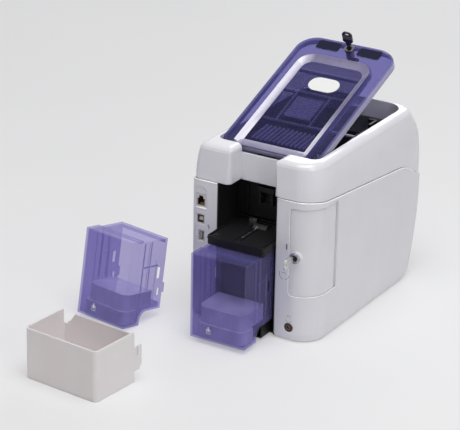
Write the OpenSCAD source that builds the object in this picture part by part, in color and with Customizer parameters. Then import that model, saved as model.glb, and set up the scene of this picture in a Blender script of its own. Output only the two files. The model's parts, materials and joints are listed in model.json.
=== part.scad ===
// Desktop id card printer with a front-hinged lid, two clip-on card hoppers and a loose card tray.
// X is to the right as seen from the hopper side, Y to the back and Z up; all lengths in millimetres.
// The origin lies on the underside, half-way along the depth and width of the body.

/* [Body] */
// width over the two side covers
body_w = 205; // [203:1:209]
// depth of the body at its deepest point
body_d = 341; // [336:1:350]
// height of the top rim
body_h = 270; // [268:1:274]
// wall of the moulded covers
wall = 2.5; // [2.2:0.1:2.8]
// radius of the front left corner, seen from above
front_left_r = 10; // [8:1:14]
// radius of the front right corner, seen from above
front_right_r = 38; // [36:1:38]
// radius of the two rear corners, seen from above
rear_r = 25; // [20:1:30]
// how far the top cover stands in from the side covers
top_inset = 2.5; // [1.5:0.1:3]
// height of the seam between top and side covers at the front
seam_z = 216; // [214:1:218]

/* [Lid] */
// angle at which the lid stands open
lid_open = 20.5; // [0:0.5:70]
// half width of the opening under the lid
mouth_half_w = 82; // [81:0.5:83]
// gap all round between the lid and the rim
lid_gap = 1.5; // [1:0.1:2]
// depth of the sunken panel in the lid
lid_sink = 6; // [4:0.5:7]
// thickness of the lid moulding
lid_t = 2.4; // [2:0.1:2.8]

/* [Hopper bay] */
// centre of the card path, measured from the body centre
bay_x = -10; // [-11:0.5:-9]
// clear width of the bay in the front
bay_w = 98.6; // [98:0.1:100]
// height of the card shelf above the top edge of the mounted hopper
shelf_gap = 11; // [10.6:0.1:13]
// how far the card shelf stands out of the front
shelf_out = 30; // [26:1:34]

/* [Hoppers] */
// width of a card hopper
hopper_w = 89.5; // [88:0.1:90]
// depth of a card hopper
hopper_d = 77; // [76:0.5:78]
// height of a card hopper
hopper_h = 129; // [126:1:131]
// wall of the hopper moulding
hopper_t = 2.2; // [1.8:0.1:2.6]
// height of the mounted hopper above the floor
hopper_z = 8; // [7:0.5:10]

/* [Card tray] */
// width of the loose card tray
tray_w = 126.5; // [120:0.5:130]
// depth of the loose card tray
tray_d = 84; // [80:0.5:88]
// height of the loose card tray
tray_h = 76; // [72:1:80]

/* [Access door] */
// lower edge of the access door
door_z0 = 72; // [70:1:76]
// upper edge of the access door
door_z1 = 204.5; // [200:0.5:205.5]
// left edge of the access door on the front
door_x = 61; // [60:0.5:62]
// rear edge of the access door on the side
door_y = 65; // [64:0.5:66]
// how far the door is sunk below the cover
door_sink = 1.5; // [1:0.1:2]

/* [Locks] */
// radius of the turning lock core
core_r = 4.5; // [4:0.1:5]
// radius of the lock barrel
barrel_r = 6.5; // [6:0.1:7]
// angle of the lid key
lid_key_turn = 0; // [0:1:90]

/* [Fits] */
// radial clearance of turning shafts
run_gap = 0.05; // [0.02:0.01:0.08]
// gap between bodies that pass each other
pass_gap = 0.4; // [0.3:0.05:0.6]

/* [Hidden] */
$fn = 48;
w2 = body_w / 2;
mid_y = body_d / 2;
bay_l = bay_x - bay_w / 2;
bay_r = bay_x + bay_w / 2;
cx0 = bay_x - hopper_w / 2;
top_w2 = w2 - top_inset;
// lid hinge line
hinge_y = 44;
hinge_z = body_h - 8;
lid_front = hinge_y - 1.8;
mouth_front = hinge_y - 9;
mouth_rear = 303;
lid_rear = mouth_rear - lid_gap;
lid_w2 = mouth_half_w - lid_gap;
lid_bottom = body_h - 14;
lid_panel = body_h - lid_sink;
lock_y = lid_rear - 17;
lock_x = 4;
// access door hinge line
door_r = 6;
door_ax = w2 - door_sink - door_r;
door_ay = door_y - door_r;
// access door lock
dlock_x = door_x + 9.9;
dlock_z = door_z0 + 59.7;
power_in = [door_x + 1.9, 21.9];
// card shelf, card path and rollers
shelf_z = hopper_z + hopper_h + shelf_gap;
path_z = shelf_z + 2;
mech_top = path_z + 88;
plate_l = bay_x - 50;
plate_r = bay_x + 50;
platen = [163, path_z - 9.3];
feed_f = [82, path_z - 6.3];
feed_b = [230, path_z - 6.3];
motor = [120, 95];
supply = [108, path_z + 42];
takeup = [216, path_z + 38];
head_ax = [252, mech_top - 14];
belt_x = plate_r + 6;
belt_w = 6;

// Flat outline helpers, all with true arcs.
module rounded(x0, y0, x1, y1, r) {
  union() {
    translate([x0 + r, y0]) square([x1 - x0 - 2 * r, y1 - y0]);
    translate([x0, y0 + r]) square([x1 - x0, y1 - y0 - 2 * r]);
    for (x = [x0 + r, x1 - r])
      for (y = [y0 + r, y1 - r])
        translate([x, y]) circle(r = r);
  }
}

// Outline with a separate radius at each corner: front left, front right, rear right, rear left.
module outline4(x0, y0, x1, y1, fl, fr, rr, rl) {
  difference() {
    translate([x0, y0]) square([x1 - x0, y1 - y0]);
    translate([x0 - 1, y0 - 1]) square([fl + 1, fl + 1]);
    translate([x1 - fr, y0 - 1]) square([fr + 1, fr + 1]);
    translate([x1 - rr, y1 - rr]) square([rr + 1, rr + 1]);
    translate([x0 - 1, y1 - rl]) square([rl + 1, rl + 1]);
  }
  translate([x0 + fl, y0 + fl]) circle(r = fl);
  translate([x1 - fr, y0 + fr]) circle(r = fr);
  translate([x1 - rr, y1 - rr]) circle(r = rr);
  translate([x0 + rl, y1 - rl]) circle(r = rl);
}

// Box given by two opposite corners.
module slab(a, b) {
  translate(a) cube([b[0] - a[0], b[1] - a[1], b[2] - a[2]]);
}

// Cylinder along X from x0 to x1 through the point [y, z].
module xcyl(p, r, x0, x1) {
  translate([x0, p[0], p[1]]) rotate([0, 90, 0]) cylinder(r = r, h = x1 - x0);
}

// Cylinder along Y from y0 to y1 through the point [x, z].
module ycyl(p, r, y0, y1) {
  translate([p[0], y0, p[1]]) rotate([-90, 0, 0]) cylinder(r = r, h = y1 - y0);
}

// Flat shape drawn in Y and Z, extruded along X from x0 to x1.
module along_x(x0, x1) {
  translate([x0, 0, 0]) rotate([90, 0, 90]) linear_extrude(height = x1 - x0) children();
}

// Moves the parts from the front-plane frame to the part frame.
module place() {
  translate([0, -mid_y, 0]) children();
}

// Depth of the rear wall at height z.
function rear_y(z) = z > 165 ? body_d - 35 * pow((z - 165) / (body_h - 165), 3)
                   : z < 127 ? body_d - 29 * pow((127 - z) / 127, 1.6) : body_d;

// One level of a cover: four thin corner discs, for hull().
module level(z, hw, yf, yr, fl, fr, rr) {
  front_pair(z, 0.1, hw, yf, fl, fr);
  rear_pair(z, 0.1, hw, yr, rr);
}

module front_pair(z, h, hw, yf, fl, fr) {
  translate([-hw + fl, yf + fl, z]) cylinder(r = fl, h = h, $fn = 32);
  translate([hw - fr, yf + fr, z]) cylinder(r = fr, h = h, $fn = 48);
}

module rear_pair(z, h, hw, yr, rr) {
  translate([hw - rr, yr - rr, z]) cylinder(r = rr, h = h, $fn = 36);
  translate([-hw + rr, yr - rr, z]) cylinder(r = rr, h = h, $fn = 36);
}

// Solid form of the side covers, inset by i.
module side_form(i) {
  hull() {
    level(i, w2 - 4 - i, 7 + i, 284 - i, front_left_r - i, front_right_r - 5 - i, rear_r - i);
    level(2 + i * 0.6, w2 - 1.9 - i, 3.4 + i, 299 - i, front_left_r - i, front_right_r - 3 - i, rear_r - i);
    level(6 + i * 0.3, w2 - 0.6 - i, 1.1 + i, 308 - i, front_left_r - i, front_right_r - i, rear_r - i);
    front_pair(12, 210, w2 - i, i, front_left_r - i, front_right_r - i);
    for (z = [12 : 16 : 108])
      rear_pair(z, 0.1, w2 - i, rear_y(z) - i, rear_r - i);
    rear_pair(127, 95, w2 - i, body_d - i, rear_r - i);
  }
}

// Solid form of the top cover, inset by i.
module top_form(i) {
  s = 1 - i / 30;
  hull() {
    for (z = [seam_z - 76 : 20 : seam_z + 4])
      level(z, top_w2 - i, top_inset + i, rear_y(z) - i, front_left_r - 1 - i, front_right_r - 2 - i, rear_r - 1 - i);
    for (k = [0.2 : 0.2 : 1])
      let (z = body_h - 48 + 40 * k)
        level(z - i, top_w2 - 5 * pow(k, 2) - i, top_inset + 2 * k + i, rear_y(z) - i,
              front_left_r - 1 - i, front_right_r - 3 - i, rear_r - 1 - i);
    level(body_h - 4 - i, top_w2 - 7 - i, 6 + i, rear_y(body_h - 7) - i, front_left_r - 1 - i, front_right_r - 5 - i, rear_r - 2 - i);
    level(body_h - 1.3 - i, top_w2 - 10 - i, 9 + i, rear_y(body_h - 3.5) - 1 - i, front_left_r - 1 - i, front_right_r - 8 - i, rear_r - 4 - i);
    level(body_h - 0.02 - i, top_w2 - 14 - i, 13.5 + i, rear_y(body_h - 1) - 3 - i, front_left_r - 2 - i, front_right_r - 12 - i, rear_r - 7 - i);
  }
}

function smooth(t) = let (c = max(0, min(1, t))) c * c * (3 - 2 * c);
// Height of the seam between the covers at depth y.
function seam(y) = seam_z - 0.107 * max(0, y - 8) - 27 * smooth((y - 260) / 88);

// Everything below the seam, less a shadow gap.
module below_seam(gap) {
  along_x(-w2 - 10, w2 + 10)
    polygon(concat([[body_d + 20, -5], [-20, -5]], [for (y = [-20 : 8 : body_d + 20]) [y, seam(y) - gap]]));
}

// Floor opening that takes the base pan.
module floor_mouth(g) {
  linear_extrude(height = 20, center = true) rounded(-w2 + 12 - g, 12 - g, w2 - 12 + g, 276 + g, 20);
}

// Shared shell of the two side covers.
module side_shell() {
  difference() {
    side_form(0);
    side_form(wall);
    floor_mouth(0.5);
    translate([0, 0, 300]) cube([400, 900, 100], center = true);
    slab([bay_l, -5, -1], [bay_r, 12, 300]);
  }
}

module base_pan() {
  color([0.16, 0.16, 0.17]) place() difference() {
    union() {
      linear_extrude(height = 3) rounded(-w2 + 12, 12, w2 - 12, 276, 20);
      for (x = [plate_l + 1, plate_r - 1])
        slab([x - 5, 70, 3], [x + 5, 270, 12]);
    }
    for (p = foot_points) translate([p[0], p[1], -1]) cylinder(r = 9.3, h = 3);
    for (s = [-1, 1])
      for (k = [2 : 6])
        slab([s * k * 10 - 1.2, 120, -1], [s * k * 10 + 1.2, 200, 4]);
  }
}

foot_points = [for (x = [-w2 + 30, w2 - 30]) for (y = [34, 252]) [x, y]];

module rubber_feet() {
  color([0.07, 0.07, 0.07]) place() for (p = foot_points)
    translate([p[0], p[1], 0]) cylinder(r = 9, h = 2);
}

// Openings for the sockets in the left panel.
port_x = -w2 + 16.5;
lan_z = seam_z - 42;
usb_b_z = seam_z - 67.2;
usb_a_z = seam_z - 93.8;
module left_side_cover() {
  color([0.92, 0.93, 0.95]) place() difference() {
    union() {
      intersection() {
        side_shell();
        below_seam(0.25);
        slab([-w2 - 5, -5, -1], [-0.25, body_d + 5, 230]);
      }
      // return flange beside the bay
      slab([bay_l - wall, wall - 0.1, 10], [bay_l, 11, seam_z - 2]);
    }
    slab([port_x - 8.2, -3, lan_z - 0.2], [port_x + 8.2, 9, lan_z + 20.1]);
    slab([port_x - 6.6, -3, usb_b_z - 0.4], [port_x + 6.6, 9, usb_b_z + 14.4]);
    slab([port_x - 3.6, -3, usb_a_z - 0.4], [port_x + 7.2, 9, usb_a_z + 16.6]);
    // shallow arch above the network socket
    intersection() {
      slab([port_x - 9.2, -1, lan_z - 1], [port_x + 9.2, 0.8, lan_z + 31.5]);
      union() {
        slab([port_x - 9.2, -1, lan_z - 1], [port_x + 9.2, 1, lan_z + 23]);
        ycyl([port_x, lan_z + 22.3], 9.2, -1, 1);
      }
    }
  }
}

module right_side_cover() {
  color([0.92, 0.93, 0.95]) place() difference() {
    union() {
      intersection() {
        side_shell();
        below_seam(0.25);
        slab([0.25, -5, -1], [w2 + 5, body_d + 5, 230]);
      }
      slab([bay_r, wall - 0.1, 10], [bay_r + wall, 11, seam_z - 2]);
      // catch for the door cam
      slab([dlock_x - 18.5, wall - 0.5, dlock_z - 12], [dlock_x - 10.5, 16.4, dlock_z + 12]);
      // flange behind the rear edge of the door
      slab([door_ax - 1, door_y + pass_gap, door_z0 - 1], [w2 - 1, door_y + pass_gap + 1.8, door_z1 + 1]);
      // hinge jamb with its two lugs
      slab([door_ax - 12, door_y + 5, 100], [w2 - 1, door_y + 7.5, 173]);
      slab([door_ax - 12, door_ay - 12, 100], [door_ax - 9.5, door_y + 6, 173]);
      for (z = [104.4, 163.4]) door_lug(z);
    }
    door_window(pass_gap);
    for (z = [103, 162]) translate([door_ax, door_ay, z]) cylinder(r = 1.5 + run_gap, h = 8);
    ycyl(power_in, 7, -3, 9);
  }
}

module door_lug(z) {
  translate([door_ax, door_ay, z]) linear_extrude(height = 5.4) union() {
    circle(r = door_r - 2.4);
    rotate(225) translate([0, -2.2]) square([15.5, 4.4]);
  }
}

// The wrap-round window of the access door, grown by g.
module door_window(g) {
  intersection() {
    translate([0, 40, 0]) rotate([90, 0, 0]) translate([0, 0, -200]) linear_extrude(height = 400)
      outline4(door_x - g, door_z0 - g, w2 + 20, door_z1 + g, 6, 1, 1, 6);
    along_x(0, w2 + 20) outline4(-30, door_z0 - g, door_y + g, door_z1 + g, 1, 0.6, 0.6, 1);
    difference() {
      slab([door_x - 2, -5, 50], [w2 + 10, door_y + 2, 230]);
      translate([door_x - 20, wall + 1.6, 50]) cube([w2 - front_right_r - door_x + 20, 100, 200]);
      translate([door_x - 20, front_right_r, 50]) cube([w2 - wall - 1.6 - door_x + 20, 100, 200]);
      translate([w2 - front_right_r, front_right_r, 50]) cylinder(r = front_right_r - wall - 1.6, h = 200);
    }
  }
}

// Plan of the body corner, inset by i.
module corner_plan(i) {
  outline4(0, i, w2 - i, 200, 1, front_right_r - i, 1, 1);
}

module access_door() {
  t = 2.2;
  color([0.92, 0.93, 0.95]) place() difference() {
    union() {
      intersection() {
        union() {
          translate([0, 0, door_z0]) linear_extrude(height = door_z1 - door_z0) difference() {
            corner_plan(door_sink);
            corner_plan(door_sink + t);
            square([door_x, 300]);
            translate([0, door_ay]) square([300, 300]);
          }
          // rolled rear edge round the hinge line
          translate([door_ax, door_ay, door_z0]) linear_extrude(height = door_z1 - door_z0) intersection() {
            difference() {
              circle(r = door_r);
              circle(r = door_r - 2);
            }
            square([20, 20]);
          }
        }
        translate([0, 40, 0]) rotate([90, 0, 0]) translate([0, 0, -200]) linear_extrude(height = 400)
          outline4(door_x, door_z0, w2 + 20, door_z1, 5.6, 1, 1, 5.6);
        along_x(0, w2 + 20) outline4(-30, door_z0, door_y + 0.2, door_z1, 1, 0.6, 0.6, 1);
      }
      for (z = [100, 169.2]) translate([door_ax, door_ay, z]) {
        cylinder(r = door_r - 0.2, h = 4);
        translate([0, -14, 0]) cube([door_r - 1, 14, 4]);
      }
      // seat of the lock
      ycyl([dlock_x, dlock_z], barrel_r + 2.2, -0.2, 7.5);
    }
    for (z = [99, 168]) translate([door_ax, door_ay, z]) cylinder(r = 1.5 + run_gap, h = 6);
    ycyl([dlock_x, dlock_z], barrel_r + 0.05, -5, 20);
  }
}

module door_hinge_pin() {
  color([0.7, 0.7, 0.72]) place() for (z = [99.5, 163])
    translate([door_ax, door_ay, z]) cylinder(r = 1.5, h = 10.4);
}

// Lock barrel standing on the XY plane with its collar up.
module lock_barrel(depth) {
  difference() {
    union() {
      translate([0, 0, -depth]) cylinder(r = barrel_r, h = depth + 0.5);
      cylinder(r = barrel_r + 1.6, h = 1.6);
      translate([0, 0, 1.6]) cylinder(r = barrel_r + 0.6, h = 0.8);
    }
    translate([0, 0, -depth - 1]) cylinder(r = core_r + run_gap, h = depth + 6);
  }
}

// Turning core with keyway along Y, and a cam that points turn degrees from +X.
module lock_core(depth, reach, turn) {
  difference() {
    union() {
      translate([0, 0, -depth]) cylinder(r = core_r, h = depth + 2.2);
      translate([0, 0, -depth - 2]) rotate([0, 0, turn]) linear_extrude(height = 2) {
        circle(r = 5.5);
        translate([0, -4]) square([reach - 4, 8]);
        translate([reach - 4, 0]) circle(r = 4);
      }
    }
    translate([-0.65, -3.4, -12]) cube([1.3, 6.8, 20]);
  }
}

// Flat key standing on the XY plane, blade downwards, bow in the YZ plane.
module flat_key() {
  rotate([90, 0, 90]) {
    translate([0, 0, -0.5]) linear_extrude(height = 1) difference() {
      translate([-3.1, -11]) square([6.2, 23]);
      for (k = [0 : 3]) translate([3.4, -9.5 + 2.6 * k]) rotate(45) square(1.1 + 0.25 * (k % 2), center = true);
    }
    translate([0, 0, -1]) linear_extrude(height = 2) difference() {
      union() {
        outline4(-8.2, 10.5, 8.2, 29.5, 3, 3, 6, 6);
        translate([-4.2, 6.5]) square([8.4, 7]);
      }
      rounded(-3.4, 24, 3.4, 26.6, 1.2);
    }
  }
}

// Puts a part drawn on the XY plane at the door lock, looking out of the front.
module at_door_lock() {
  place() translate([dlock_x, -0.2, dlock_z]) rotate([90, 0, 0]) children();
}

module door_lock_barrel() {
  color([0.78, 0.78, 0.8]) at_door_lock() lock_barrel(15);
}

module door_lock_core() {
  color([0.15, 0.15, 0.16]) at_door_lock() lock_core(17, 17.5, 90);
}

module door_key() {
  color([0.8, 0.8, 0.82]) at_door_lock() translate([0, 0, 2.3]) flat_key();
}

// Puts a part drawn in the closed-lid frame at the open lid.
module at_lid() {
  place() translate([0, hinge_y, hinge_z]) rotate([lid_open, 0, 0]) translate([0, -hinge_y, -hinge_z]) children();
}

// Closed-lid form inset by i.
module lid_level(z, i, c) {
  for (x = [-1, 1]) {
    translate([x * (lid_w2 - c - 12), lid_front + i + 12, z]) cylinder(r = 12 - i, h = 0.02, $fn = 32);
    translate([x * (lid_w2 - c - 30), lid_rear - c - 30, z]) cylinder(r = 30 - i, h = 0.02, $fn = 40);
  }
}

module lid_form(i) {
  hull() {
    lid_level(lid_bottom - (i > 0 ? 1 : 0), i, 0);
    lid_level(body_h - 5 - i, i, 0.6);
    lid_level(body_h - 1.6 - i, i, 2.2);
    lid_level(body_h - 0.02 - i, i, 5.5);
  }
}

// Outline of the sunken panel, inset by i.
module sunk_plan(i) {
  outline4(-lid_w2 + 21 + i, lid_front - 20, lid_w2 - 21 - i, lid_rear - 40 - i, 1, 1, 26 - i, 26 - i);
}

module lid_shell() {
  color([0.34, 0.31, 0.72, 0.55]) at_lid() difference() {
    union() {
      difference() {
        lid_form(0);
        lid_form(lid_t);
        translate([0, 0, lid_panel]) linear_extrude(height = 20) sunk_plan(0);
      }
      intersection() {
        translate([0, 0, lid_panel - lid_t]) linear_extrude(height = body_h - 1.4 - lid_panel + lid_t) difference() {
          sunk_plan(-lid_t);
          sunk_plan(0);
        }
        lid_form(0);
      }
      intersection() {
        translate([0, 0, lid_panel - lid_t]) linear_extrude(height = lid_t) sunk_plan(-0.5);
        lid_form(0.4);
      }
      for (s = [-1, 1]) xcyl([hinge_y, hinge_z], 4.4, s > 0 ? lid_w2 - 8 : -lid_w2 + 1.8, s > 0 ? lid_w2 - 1.8 : -lid_w2 + 8);
    }
    xcyl([hinge_y, hinge_z], 2.01, -lid_w2 - 2, -lid_w2 + 7);
    xcyl([hinge_y, hinge_z], 2.01, lid_w2 - 7, lid_w2 + 2);
    translate([lock_x, lock_y, lid_bottom - 40]) cylinder(r = barrel_r + 0.05, h = 100);
    // two shallow windows beside the lock
    for (x = [lock_x - 34, lock_x + 34])
      translate([0, 0, body_h - 1]) linear_extrude(height = 5) rounded(x - 19, lock_y - 11, x + 19, lock_y + 9, 4);
  }
}

module lid_ribs() {
  h = 4.6;
  z0 = lid_panel - lid_t - h;
  z1 = lid_panel - lid_t;
  x = lid_w2 - 21;
  color([0.34, 0.31, 0.72, 0.55]) at_lid() {
    // thin carrier sheet under the sunken panel, with a frame of ribs
    slab([-x, lid_front + 8, z1 - 0.6], [x, lid_front + 187.6, z1]);
    for (y = [lid_front + 68, lid_front + 138, lid_front + 186])
      slab([-x, y, z0], [x, y + 1.6, z1]);
    slab([-x, lid_front + 8, z0], [-x + 1.6, lid_front + 187.6, z1]);
    slab([x - 1.6, lid_front + 8, z0], [x, lid_front + 187.6, z1]);
    for (s = [-27, 27]) slab([s - 0.8, lid_front + 69, z0 + 0.6], [s + 0.8, lid_front + 139, z1]);
    // slanted slats near the hinge
    for (k = [0 : 12])
      translate([-42 + 7 * k, lid_front + 22, z0 + 1]) rotate([0, 0, -14]) cube([1.8, 34, h - 1]);
    slab([-x, lid_front + 8, z0 + 1], [x, lid_front + 9.6, z1]);
    // ribbed grip field
    for (k = [0 : 12])
      slab([-22, lid_front + 82 + 3.6 * k, z1 - 1.2], [22, lid_front + 83.2 + 3.6 * k, z1]);
  }
}

module lid_badge() {
  color([0.97, 0.97, 0.96]) at_lid() translate([lock_x, lid_front + 160, lid_panel]) linear_extrude(height = 1.2)
    rounded(-24, -15, 24, 15, 14.5);
}

module lid_hinge_pins() {
  color([0.7, 0.7, 0.72]) place() for (s = [-1, 1])
    xcyl([hinge_y, hinge_z], 2, s > 0 ? lid_w2 - 6.5 : -lid_w2 - 3.8, s > 0 ? lid_w2 + 3.8 : -lid_w2 + 6.5);
}

module at_lid_lock() {
  at_lid() translate([lock_x, lock_y, body_h]) children();
}

module lid_lock_barrel() {
  color([0.78, 0.78, 0.8]) at_lid_lock() lock_barrel(13);
}

module lid_lock_core() {
  color([0.15, 0.15, 0.16]) at_lid_lock() rotate([0, 0, 90 + lid_key_turn]) lock_core(17.5, 13, -90);
}

module lid_key() {
  color([0.8, 0.8, 0.82]) at_lid_lock() rotate([0, 0, 90 + lid_key_turn]) translate([0, 0, 2.3]) flat_key();
}

// Everything above the seam, plus a shadow gap.
module above_seam(gap) {
  along_x(-w2 - 10, w2 + 10)
    polygon(concat([[body_d + 20, 320], [-20, 320]], [for (y = [-20 : 8 : body_d + 20]) [y, seam(y) + gap]]));
}

// Opening under the lid, grown by g.
module mouth_plan(g) {
  outline4(-mouth_half_w - g, mouth_front - g, mouth_half_w + g, mouth_rear + g, 12 + g, 12 + g, 28 + g, 28 + g);
}

notch_l = -40;
notch_r = 31.5;
notch_y = hinge_y - 6.5;
notch_z = seam_z - 1.7;
notch_top = body_h - 14.5;
notch_round = 8;
// Flat flare beside the notch, grown by g: rounds off the lobe corners down to edge.
module notch_flare(g, edge) {
  difference() {
    translate([notch_l - notch_round, -100]) square([notch_r - notch_l + 2 * notch_round, 100 + edge + notch_round]);
    for (x = [notch_l - notch_round, notch_r + notch_round])
      translate([x, edge + notch_round]) circle(r = notch_round - g);
  }
}

// Space between the lobes, flared to the front and to the top, grown by g.
module notch(g) {
  slab([notch_l - g, -90, 100], [notch_r + g, notch_y + g, 320]);
  translate([0, 0, 100]) linear_extrude(height = 220) notch_flare(g, top_inset);
  translate([0, notch_y + g, body_h]) rotate([90, 0, 0]) linear_extrude(height = 120) mirror([0, 1]) notch_flare(g, 0);
}

module top_cover() {
  color([0.93, 0.94, 0.96]) place() {
    difference() {
      union() {
        difference() {
          intersection() {
            top_form(0);
            above_seam(0.25);
          }
          top_form(wall);
        }
        intersection() {
          top_form(0);
          union() {
            // wall that drops round the opening
            translate([0, 0, body_h - 30]) linear_extrude(height = 29.9) mouth_plan(wall);
            // lobe sides
            intersection() {
              notch(wall);
              slab([-80, 0, seam_z + 0.3], [80, mouth_front, body_h]);
            }
            // undersides of the lobes
            slab([bay_l, 3, seam_z + 0.3], [bay_r, notch_y + wall, seam_z + 0.3 + wall]);
          }
        }
      }
      difference() {
        translate([0, 0, body_h - 40]) linear_extrude(height = 60) mouth_plan(0);
        // keeper for the lid lock
        slab([lock_x - 9, mouth_rear - 7, body_h - 16.8], [lock_x + 9, mouth_rear + 1, body_h - 14.4]);
      }
      notch(0);
      xcyl([hinge_y, hinge_z], 2 + run_gap, mouth_half_w - 1, mouth_half_w + 4);
      xcyl([hinge_y, hinge_z], 2 + run_gap, -mouth_half_w - 4, -mouth_half_w + 1);
    }
    // back of the notch
    slab([notch_l - wall, notch_y, notch_z], [notch_r + wall, notch_y + wall, notch_top]);
    for (x = [notch_l - wall, notch_r])
      slab([x, mouth_front - 1.5, seam_z + 0.3], [x + wall, notch_y + wall, notch_top]);
  }
}

// Black liner of the hopper bay, with the ledge that carries the mounted hopper.
pick = [44, shelf_z - 9.5];
module bay_frame() {
  f = 2;
  color([0.05, 0.05, 0.055]) place() difference() {
    union() {
      slab([bay_l, 1.2, 4], [bay_l + f, 62, seam_z - 0.5]);
      slab([bay_r - f, 1.2, 4], [bay_r, 62, seam_z - 0.5]);
      // deep upper bay
      slab([bay_l, 60, shelf_z - 4], [bay_r, 62, seam_z - 0.5]);
      slab([bay_l, notch_y + wall + 0.3, seam_z - 2.5], [bay_r, 62, seam_z - 0.5]);
      // wall behind the mounted hopper
      slab([bay_l, 14, 4], [bay_r, 16, shelf_z - 20]);
      slab([bay_l, 14, shelf_z - 22], [bay_r, 62, shelf_z - 20]);
      // ledge under the hopper, open below
      slab([cx0 + 5, -20, hopper_z + 18], [cx0 + hopper_w - 5, 16, hopper_z + 20]);
      for (x = [cx0 + 5, bay_x - 1, cx0 + hopper_w - 7]) slab([x, -18, 4], [x + 2, 16, hopper_z + 19]);
      slab([cx0 + 5, -20, 4], [cx0 + hopper_w - 5, 16, 6]);
      // upright guides beside the hopper
      for (x = [bay_l + f, bay_r - f - 1.6]) slab([x, 2, hopper_z + 22], [x + 1.6, 14, shelf_z - 24]);
      // shallow frames on the back of the deep bay
      slab([bay_x - 20, 57.5, shelf_z + 28], [bay_x + 30, 60, shelf_z + 30]);
      slab([bay_x + 28, 56, shelf_z + 12], [bay_x + 30, 60, seam_z - 2]);
      slab([bay_x - 32, 56, shelf_z + 12], [bay_x - 30, 60, seam_z - 2]);
      slab([bay_x - 12, 50, seam_z - 20], [bay_x + 16, 60, seam_z - 12]);
    }
    // card exit above the hopper, card entry at shelf level
    slab([bay_x - 43.5, 10, shelf_z - 34], [bay_x + 43.5, 20, shelf_z - 24]);
    slab([bay_x - 43.5, 55, shelf_z + 1], [bay_x + 43.5, 70, shelf_z + 4]);
    xcyl(pick, 3 + run_gap, bay_l - 1, bay_l + f + 1);
    xcyl(pick, 3 + run_gap, bay_r - f - 1, bay_r + 1);
  }
}

module card_shelf() {
  x0 = bay_l + 2.6;
  x1 = bay_r - 2.6;
  color([0.045, 0.045, 0.05]) place() difference() {
    union() {
      // top plate
      slab([x0, -shelf_out + 1, shelf_z - 5], [x1, 58, shelf_z - 2]);
      // front apron with side cheeks
      translate([0, 0, shelf_z - 13]) linear_extrude(height = 13) difference() {
        outline4(x0, -shelf_out, x1, 26, 3, 3, 0.5, 0.5);
        outline4(x0 + 2.2, -shelf_out + 2.2, x1 - 2.2, 30, 1.5, 1.5, 0.5, 0.5);
      }
      // side lips on the top plate
      for (x = [x0, x1 - 2.2]) slab([x, 20, shelf_z - 5], [x + 2.2, 58, shelf_z + 1.2]);
      // two raised beds with a groove for the spring between them
      slab([x0 + 5, -shelf_out + 6, shelf_z - 3], [bay_x - 6, 30, shelf_z - 0.8]);
      slab([bay_x + 6, -shelf_out + 6, shelf_z - 3], [x1 - 5, 30, shelf_z - 0.8]);
      slab([bay_x - 2.5, -shelf_out + 12, shelf_z - 3], [bay_x + 2.5, 28, shelf_z - 0.2]);
      // stiffening webs below
      for (x = [bay_x - 22, bay_x + 20]) slab([x, -shelf_out + 2, shelf_z - 12], [x + 2, 24, shelf_z - 4]);
    }
    // window for the pick roller
    slab([bay_x - 13, 33, shelf_z - 20], [bay_x + 13, 55, shelf_z + 5]);
  }
}

module shelf_spring() {
  color([0.75, 0.76, 0.78]) place() union() {
    slab([bay_x - 1.5, -10, shelf_z - 0.2], [bay_x + 1.5, 24, shelf_z + 0.3]);
    translate([bay_x - 1.5, 24, shelf_z - 0.2]) rotate([20, 0, 0]) cube([3, 7, 0.5]);
  }
}

module shelf_clip() {
  color([0.75, 0.76, 0.78]) place() difference() {
    slab([bay_x - 26, 53, shelf_z - 2], [bay_x - 14, 57.4, shelf_z + 2.4]);
    slab([bay_x - 27, 54, shelf_z - 3], [bay_x - 13, 58, shelf_z + 1.6]);
  }
}

// Card guide fingers at the back of the deep bay.
module card_stops() {
  m = (shelf_z + seam_z) / 2 + 6;
  color([0.05, 0.05, 0.055]) place() for (x = [bay_x - 8, bay_x + 12]) {
    slab([x, 48, shelf_z + 30.2], [x + 3, 57.3, seam_z - 20.2]);
    slab([x - 2, 52, m - 2], [x + 5, 57, m + 2]);
  }
}

// Step under the rear of a hopper.
step_y = 34;
step_z = 20;
step_r = 14;
module hopper_profile(i) {
  difference() {
    translate([i, i]) square([hopper_d - 2 * i, hopper_h - 2 * i]);
    translate([step_y + step_r, -50]) square([100, step_z + i + 50]);
    translate([step_y - i, -50]) square([100, step_z - step_r + 50]);
    translate([step_y + step_r, step_z - step_r]) circle(r = step_r + i);
  }
}

module hopper_shell() {
  t = hopper_t;
  w = hopper_w;
  difference() {
    union() {
      difference() {
        along_x(0, w) hopper_profile(0);
        along_x(t, w - t) difference() {
          union() {
            hopper_profile(t);
            translate([hopper_d - 10, step_z + 8]) square([20, hopper_h - step_z - 18]);
          }
          translate([25 - t, hopper_h - t - 2.5]) square([100, 20]);
        }
        // lower rear part of the top
        slab([-1, 25, hopper_h - 2.5], [w + 1, hopper_d + 1, hopper_h + 1]);
      }
      // outer ribs and rails on both sides
      for (x = [-0.9, w - t + 0.2]) {
        slab([x, 26, 6], [x + t + 0.7, 28, hopper_h - 6]);
        slab([x, 37, 24], [x + t + 0.7, 39, hopper_h - 6]);
        slab([x, 56, 30], [x + t + 0.7, 57.6, 96]);
      }
      // inner guides
      for (x = [t - 0.3, w - t - 1.7]) {
        slab([x, 33, 50], [x + 2, 35, hopper_h - 6]);
        slab([x, 47, 50], [x + 2, 49, hopper_h - 6]);
        slab([x, 35, hopper_h - 44], [x + 1.2, hopper_d - 12, hopper_h - 42]);
      }
      // hooks at the rear edge
      for (x = [0, w - t]) slab([x, hopper_d - 1, 44], [x + t, hopper_d + 4, 58]);
    }
    // side windows with square tabs
    for (x = [-2, w - t - 1]) {
      slab([x, 62, 66], [x + t + 3, 70, 84]);
      slab([x, 66, 40], [x + t + 3, 72, 52]);
    }
  }
}

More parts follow.
